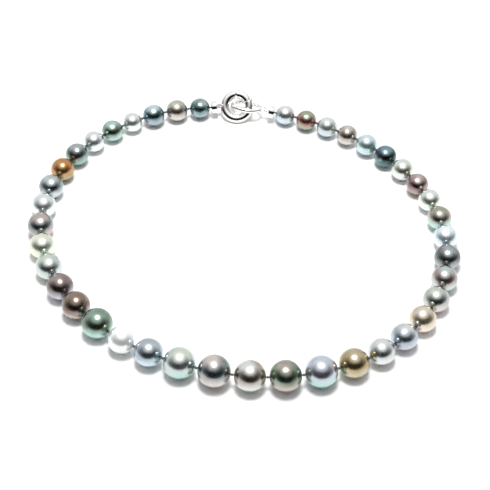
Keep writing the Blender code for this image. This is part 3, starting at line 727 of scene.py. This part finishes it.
def add_thread_run(name, start, knot, end, spin, size, mat):
    """A run of thread with its knot, as an object that rides on nothing yet."""
    points = knot_path(start, knot, end, spin, size)
    shell = bmesh.new()
    swept(shell, points, [THREAD_RADIUS] * len(points), 8, closed=False)
    mesh = finished_mesh(name, shell)
    mesh.materials.append(mat)
    obj = bpy.data.objects.new(name, mesh)
    bpy.context.scene.collection.objects.link(obj)
    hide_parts("silk_thread")
    return obj


def add_thread(places, knots, cap_ends, mat):
    """One run of thread for each gap, wound into a knot where two bodies meet. Only the last run rides on a
    body.
    """
    centres = [centre for centre, _ in places]
    stops = [cap_ends[0]] + centres + [cap_ends[1]]
    bodies = ["left_cap"] + [f"pearl_{n + 1:02d}" for n in range(len(centres))]
    for index, knot in enumerate(knots):
        size = END_KNOT_SIZE if index in (0, len(centres)) else 1.0
        run = add_thread_run(
            f"silk_run_{index:02d}", stops[index], knot, stops[index + 1], 1.3 * index, size, mat
        )
        if index < len(centres):
            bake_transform(run)
        else:
            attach(run, bodies[index])


# ---------------------------------------------------------------- clasp

def cap_profile():
    """Half section of an end cap: open towards the pearl, with rounded rims."""
    top, edge = CAP_LENGTH, CAP_EDGE
    rim = [(math.sin(math.radians(a)), math.cos(math.radians(a))) for a in (0, 22.5, 45, 67.5, 90)]
    outer = [(CAP_RADIUS - edge + edge * s, top - edge + edge * c) for s, c in rim]
    lower = [(r, top - h) for r, h in reversed(outer)]
    return [(0.0, top)] + outer + lower + [
        (DRILL_RADIUS + 0.15 * MM, 0.0),
        (DRILL_RADIUS, 0.1 * MM),
        (DRILL_RADIUS, CAP_WALL),
        (CAVITY_RADIUS, CAP_WALL),
        (CAVITY_RADIUS, top - CAP_WALL),
        (0.0, top - CAP_WALL),
    ]


def cap_mesh(name):
    """Mesh of a plain end cap in the cap's frame, where X leads away from the pearl."""
    mesh = turned_mesh(name, cap_profile(), 64)
    mesh.transform(Matrix.Translation((END_GAP / 2.0, 0.0, 0.0)) @ Matrix.Rotation(math.pi / 2.0, 4, "Y"))
    return mesh


def left_cap_mesh(reach, lean):
    """Mesh of the left cap with its flat tongue and rivet hole."""
    face = END_GAP / 2.0 + CAP_LENGTH
    neck = block_mesh(
        "neck", Vector((face - OVERLAP, -0.8 * TONGUE_RADIUS, -TONGUE_HALF)),
        Vector((reach, 0.8 * TONGUE_RADIUS, TONGUE_HALF)), 0.0,
    )
    nose = rod_mesh("nose", Vector((reach, 0.0, 0.0)), TONGUE_RADIUS, TONGUE_HALF, 0.02 * MM, 40)
    hole = rod_mesh("hole", Vector((reach, 0.0, 0.0)), PIN_RADIUS + GAP, 3.0 * TONGUE_HALF, 0.02 * MM)
    for mesh in (neck, nose, hole):
        mesh.transform(Matrix.Rotation(lean, 4, "X"))
    return combined(cap_mesh("left_cap"), [("UNION", neck), ("UNION", nose), ("DIFFERENCE", hole)])


def right_cap_mesh(reach):
    """Mesh of the right cap with its wire eye."""
    eye = wire_ring_mesh("eye", EYE_RADIUS, EYE_WIRE)
    eye.transform(Matrix.Translation((reach, 0.0, 0.0)))
    stem = block_mesh(
        "stem", Vector((END_GAP / 2.0 + CAP_LENGTH - OVERLAP, -0.8 * EYE_WIRE, -0.8 * EYE_WIRE)),
        Vector((reach - EYE_RADIUS, 0.8 * EYE_WIRE, 0.8 * EYE_WIRE)), 0.0,
    )
    return combined(cap_mesh("right_cap"), [("UNION", stem), ("UNION", eye)])


def wire_ring_mesh(name, radius, wire):
    """Mesh of a round wire ring about Z."""
    steps = 48
    centres = []
    for n in range(steps):
        turn = 2.0 * math.pi * n / steps
        centres.append(Vector((radius * math.cos(turn), radius * math.sin(turn), 0.0)))
    shell = bmesh.new()
    swept(shell, centres, [wire] * steps, 16, closed=True)
    return finished_mesh(name, shell)


def polar(radius, angle):
    """Point of the ring's plane."""
    return Vector((radius * math.cos(angle), radius * math.sin(angle), 0.0))


def catch_block(extra, outer):
    """Mesh of the gate's catch, grown by extra on its sides and reaching out to outer."""
    mesh = block_mesh(
        "catch", Vector((CATCH_INNER - extra, -CATCH_ROOT, -CATCH_HALF - extra)),
        Vector((outer, CATCH_LENGTH + extra, CATCH_HALF + extra)), 0.0 if extra else 0.05 * MM,
    )
    mesh.transform(Matrix.Rotation(GATE_FREE_ANGLE, 4, "Z"))
    return mesh


def ring_body_mesh():
    """Mesh of the fixed part of the clasp ring, in the ring's frame."""
    start = GATE_FREE_ANGLE + 0.5 * FREE_GAP / RING_RADIUS
    end = 2.0 * math.pi + GATE_HINGE_ANGLE - 0.5 * GAP / RING_RADIUS
    hinge = polar(HINGE_OFFSET, GATE_HINGE_ANGLE)
    pin = Vector((-PIN_OFFSET, 0.0, 0.0))
    tall = 2.0 * RING_HALF_DEPTH
    slot_half = TONGUE_HALF + GAP
    tongue_slot = block_mesh(
        "tongue_slot", Vector((-2.0 * RING_RADIUS, -TONGUE_SLOT_HALF, -slot_half)),
        Vector((-PIN_OFFSET + TONGUE_RADIUS + GAP, TONGUE_SLOT_HALF, slot_half)), 0.0,
    )
    return combined(ring_arc_mesh("ring_body", start, end, 110, 40), [
        ("UNION", rod_mesh("lug", hinge, KNUCKLE_RADIUS, 0.8 * RING_HALF_DEPTH, 0.06 * MM)),
        ("DIFFERENCE", rod_mesh("slot", hinge, KNUCKLE_RADIUS + GAP, KNUCKLE_HALF + GAP, CUT_EDGE)),
        ("DIFFERENCE", rod_mesh("hole", hinge, HINGE_PIN_RADIUS + GAP / 2.0, tall, CUT_EDGE)),
        ("DIFFERENCE", tongue_slot),
        ("DIFFERENCE", rod_mesh("pin_hole", pin, PIN_RADIUS + GAP / 2.0, tall, CUT_EDGE)),
        ("DIFFERENCE", catch_block(GAP, 2.0 * RING_RADIUS)),
    ])


def gate_mesh():
    """Mesh of the hinged gate, in the ring's frame."""
    start = GATE_HINGE_ANGLE + 0.5 * GAP / RING_RADIUS
    end = GATE_FREE_ANGLE - 0.5 * FREE_GAP / RING_RADIUS
    hinge = polar(HINGE_OFFSET, GATE_HINGE_ANGLE)
    tall = 2.0 * RING_HALF_DEPTH
    arm = block_mesh(
        "arm", Vector((HINGE_OFFSET - KNUCKLE_RADIUS, 0.0, -ARM_HALF)),
        Vector((HINGE_OFFSET + 0.6 * KNUCKLE_RADIUS, KNUCKLE_RADIUS + 2.0 * GAP, ARM_HALF)), 0.0,
    )
    arm.transform(Matrix.Rotation(GATE_HINGE_ANGLE, 4, "Z"))
    return combined(ring_arc_mesh("gate", start, end, 30, 40), [
        ("DIFFERENCE", rod_mesh("seat", hinge, KNUCKLE_RADIUS + GAP, tall, CUT_EDGE)),
        ("UNION", rod_mesh("knuckle", hinge, KNUCKLE_RADIUS, KNUCKLE_HALF, 0.03 * MM)),
        ("UNION", arm),
        ("UNION", catch_block(0.0, CATCH_OUTER)),
        ("DIFFERENCE", rod_mesh("hole", hinge, HINGE_PIN_RADIUS + GAP / 2.0, tall, CUT_EDGE)),
    ])


def pear_loop_mesh():
    """Mesh of the pear-shaped wire loop in its own frame, with the narrow end at +X."""
    half = [
        (-LOOP_BACK, 0.0),
        (-0.85 * LOOP_BACK, 0.66 * LOOP_HALF_WIDTH),
        (-0.5 * LOOP_BACK, LOOP_HALF_WIDTH),
        (0.0, LOOP_HALF_WIDTH),
        (0.5 * LOOP_FRONT, 0.82 * LOOP_HALF_WIDTH),
        (0.88 * LOOP_FRONT, 0.42 * LOOP_HALF_WIDTH),
        (LOOP_FRONT, 0.0),
    ]
    corners = [Vector((x, y, 0.0)) for x, y in half]
    corners += [Vector((x, -y, 0.0)) for x, y in reversed(half[1:-1])]
    points = smooth_loop(corners, 8)
    radii = []
    for point in points:
        share = min(1.0, max(0.0, point.x / LOOP_FRONT))
        radii.append(LOOP_WIRE + (LOOP_END_WIRE - LOOP_WIRE) * share)
    shell = bmesh.new()
    swept(shell, points, radii, 24, closed=True)
    return finished_mesh("pear_loop", shell)


def add_clasp(frame, knots, mat):
    """Every piece of the clasp. Returns where the thread ends in the left and in the right cap."""
    chord = knots[-1] - knots[0]
    outward = UP.cross(Vector((chord.x, chord.y, 0.0))).normalized()
    pin, ring_axis = joint_place(frame, "clasp_ring_pin")
    swing, _ = joint_place(frame, "clasp_loop_swing")
    loop_end, link_axis = joint_place(frame, "jump_ring_swing")
    eye, _ = joint_place(frame, "right_cap_swing")

    left_frame = frame_matrix(knots[0], pin - knots[0], outward)
    lean = left_frame.inverted().to_3x3() @ ring_axis
    left = left_cap_mesh((pin - knots[0]).length, math.atan2(-lean.y, lean.z))
    add_piece("left_end_cap", left, mat, "left_cap", ["end_cap_left"], left_frame)

    heading = (swing - pin).normalized()
    side = ring_axis.cross(heading)
    ring_turn = Matrix((heading, side, ring_axis)).transposed().to_4x4()
    ring_frame = Matrix.Translation(pin + heading * PIN_OFFSET) @ ring_turn
    add_piece("ring_body", ring_body_mesh(), mat, "clasp_ring", ["clasp_ring"], ring_frame)
    add_piece("ring_gate", gate_mesh(), mat, "clasp_gate", ["clasp_gate"], ring_frame)
    hinge = polar(HINGE_OFFSET, GATE_HINGE_ANGLE)
    pin_place = Vector((-PIN_OFFSET, 0.0, 0.0))
    rivet = rod_mesh("rivet", pin_place, PIN_RADIUS, 0.95 * RING_HALF_DEPTH, 0.15 * MM)
    small = rod_mesh("small_rivet", hinge, HINGE_PIN_RADIUS, 0.8 * RING_HALF_DEPTH, 0.1 * MM)
    add_piece("cap_rivet", rivet, mat, "clasp_ring", ["left_cap_rivet"], ring_frame)
    add_piece("gate_rivet", small, mat, "clasp_ring", ["gate_hinge_rivet"], ring_frame)

    ahead = (loop_end - swing).normalized()
    loop_frame = frame_matrix(swing, ahead, outward) @ Matrix.Rotation(LOOP_LEAN, 4, "X")
    add_piece("pear_loop", pear_loop_mesh(), mat, "clasp_loop", ["clasp_loop"], loop_frame)

    link = wire_ring_mesh("link", LINK_RADIUS, LINK_WIRE)
    link_frame = frame_matrix(eye - ahead * LINK_RADIUS, ahead, link_axis.cross(ahead))
    add_piece("round_link", link, mat, "jump_ring", ["jump_ring"], link_frame)

    right_frame = frame_matrix(knots[-1], eye - knots[-1], -outward)
    right = right_cap_mesh((eye - knots[-1]).length)
    add_piece("right_end_cap", right, mat, "right_cap", ["end_cap_right"], right_frame)
    inside = Vector((END_GAP / 2.0 + CAP_WALL + THREAD_IN_CAP, 0.0, 0.0))
    mouth = Vector((MOUTH_SHARE * END_GAP / 2.0, 0.0, 0.0))
    return left_frame @ inside, right_frame @ mouth


# ---------------------------------------------------------------- studio

def add_camera():
    """Camera that looks down at the strand from the front."""
    data = bpy.data.cameras.new("camera")
    data.lens = CAMERA_LENS
    data.clip_start = 0.01
    camera = bpy.data.objects.new("camera", data)
    back = Vector((0.0, -math.cos(CAMERA_ELEVATION), math.sin(CAMERA_ELEVATION)))
    camera.location = CAMERA_TARGET + back * CAMERA_DISTANCE
    camera.rotation_euler = (-back).to_track_quat("-Z", "Y").to_euler()
    bpy.context.scene.collection.objects.link(camera)
    bpy.context.scene.camera = camera


def add_area_light(name, place, target, width, power):
    """A round soft light that faces target."""
    data = bpy.data.lights.new(name, "AREA")
    data.shape = "DISK"
    data.size = width
    data.energy = power
    light = bpy.data.objects.new(name, data)
    light.location = place
    light.rotation_euler = (target - place).to_track_quat("-Z", "Y").to_euler()
    bpy.context.scene.collection.objects.link(light)


def add_world():
    """Pale studio walls, the dark room behind the viewer, and a white backdrop."""
    world = bpy.data.worlds.new("studio")
    bpy.context.scene.world = world
    world.use_nodes = True
    tree = world.node_tree
    walls = tree.nodes["Background"]
    source = add_node(tree, "ShaderNodeTexCoord")
    shifted = add_node(tree, "ShaderNodeVectorMath", operation="SUBTRACT")
    shifted.inputs[1].default_value = (0.0, 0.0, DARK_ROOM_MIDDLE)
    tree.links.new(source.outputs["Generated"], shifted.inputs[0])
    scaled = add_node(tree, "ShaderNodeVectorMath", operation="MULTIPLY")
    scaled.inputs[1].default_value = (1.0 / DARK_ROOM_HALF_WIDTH, 0.0, 1.0 / DARK_ROOM_HALF_HEIGHT)
    tree.links.new(shifted.outputs["Vector"], scaled.inputs[0])
    reach = add_node(tree, "ShaderNodeVectorMath", operation="LENGTH")
    tree.links.new(scaled.outputs["Vector"], reach.inputs[0])
    inside = smooth_range(tree, reach.outputs["Value"], DARK_ROOM_RIM, DARK_ROOM_CORE)
    parts = add_node(tree, "ShaderNodeSeparateXYZ")
    tree.links.new(source.outputs["Generated"], parts.inputs["Vector"])
    ahead = smooth_range(tree, parts.outputs["Y"], *DARK_ROOM_AHEAD)
    share = add_node(tree, "ShaderNodeMath", operation="MULTIPLY")
    tree.links.new(inside, share.inputs[0])
    tree.links.new(ahead, share.inputs[1])
    wall = add_node(tree, "ShaderNodeMix", data_type="RGBA")
    wall.inputs[6].default_value = WALL_LIGHT
    wall.inputs[7].default_value = BACK_WALL_LIGHT
    tree.links.new(smooth_range(tree, parts.outputs["Y"], *BACK_WALL_ZONE), wall.inputs["Factor"])
    room = add_node(tree, "ShaderNodeMix", data_type="RGBA")
    tree.links.new(wall.outputs[2], room.inputs[6])
    room.inputs[7].default_value = CEILING_LIGHT
    tree.links.new(smooth_range(tree, parts.outputs["Z"], *CEILING_ZONE), room.inputs["Factor"])
    tone = add_node(tree, "ShaderNodeMix", data_type="RGBA")
    tree.links.new(room.outputs[2], tone.inputs[6])
    tone.inputs[7].default_value = DARK_ROOM_LIGHT
    tree.links.new(share.outputs["Value"], tone.inputs["Factor"])
    tree.links.new(tone.outputs[2], walls.inputs["Color"])
    backdrop = add_node(tree, "ShaderNodeBackground")
    backdrop.inputs["Color"].default_value = (1.0, 1.0, 1.0, 1.0)
    path = add_node(tree, "ShaderNodeLightPath")
    mix = add_node(tree, "ShaderNodeMixShader")
    tree.links.new(path.outputs["Is Camera Ray"], mix.inputs["Fac"])
    tree.links.new(walls.outputs["Background"], mix.inputs[1])
    tree.links.new(backdrop.outputs["Background"], mix.inputs[2])
    tree.links.new(mix.outputs["Shader"], tree.nodes["World Output"].inputs["Surface"])


def add_table():
    """A wide white table under the strand."""
    shell = bmesh.new()
    half = FLOOR_SIZE / 2.0
    corners = [shell.verts.new((x * half, y * half, 0.0)) for x, y in ((-1, -1), (1, -1), (1, 1), (-1, 1))]
    shell.faces.new(corners)
    mesh = finished_mesh("table", shell)
    mesh.materials.append(table_top())
    table = bpy.data.objects.new("table", mesh)
    bpy.context.scene.collection.objects.link(table)


def add_studio():
    """Light, walls and table."""
    bpy.context.scene.view_settings.view_transform = "Standard"
    middle = Vector((0.0, 0.0, 0.0))
    add_area_light("softbox", Vector((0.0, 0.0, SOFTBOX_HEIGHT)), middle, SOFTBOX_WIDTH, SOFTBOX_POWER)
    add_world()
    add_table()


def main():
    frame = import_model()
    add_camera()
    nodes = pearl_nodes(frame)
    places = pearl_places(nodes)
    knots = knot_places(frame, places)
    add_pearls(nodes, places, knots)
    metal = white_gold()
    cap_ends = add_clasp(frame, knots, metal)
    add_thread(places, knots, cap_ends, silk())
    for node in ("thread_crimp_left", "thread_crimp_right"):
        frame["nodes"][node].data.materials[0] = metal
    add_studio()


main()
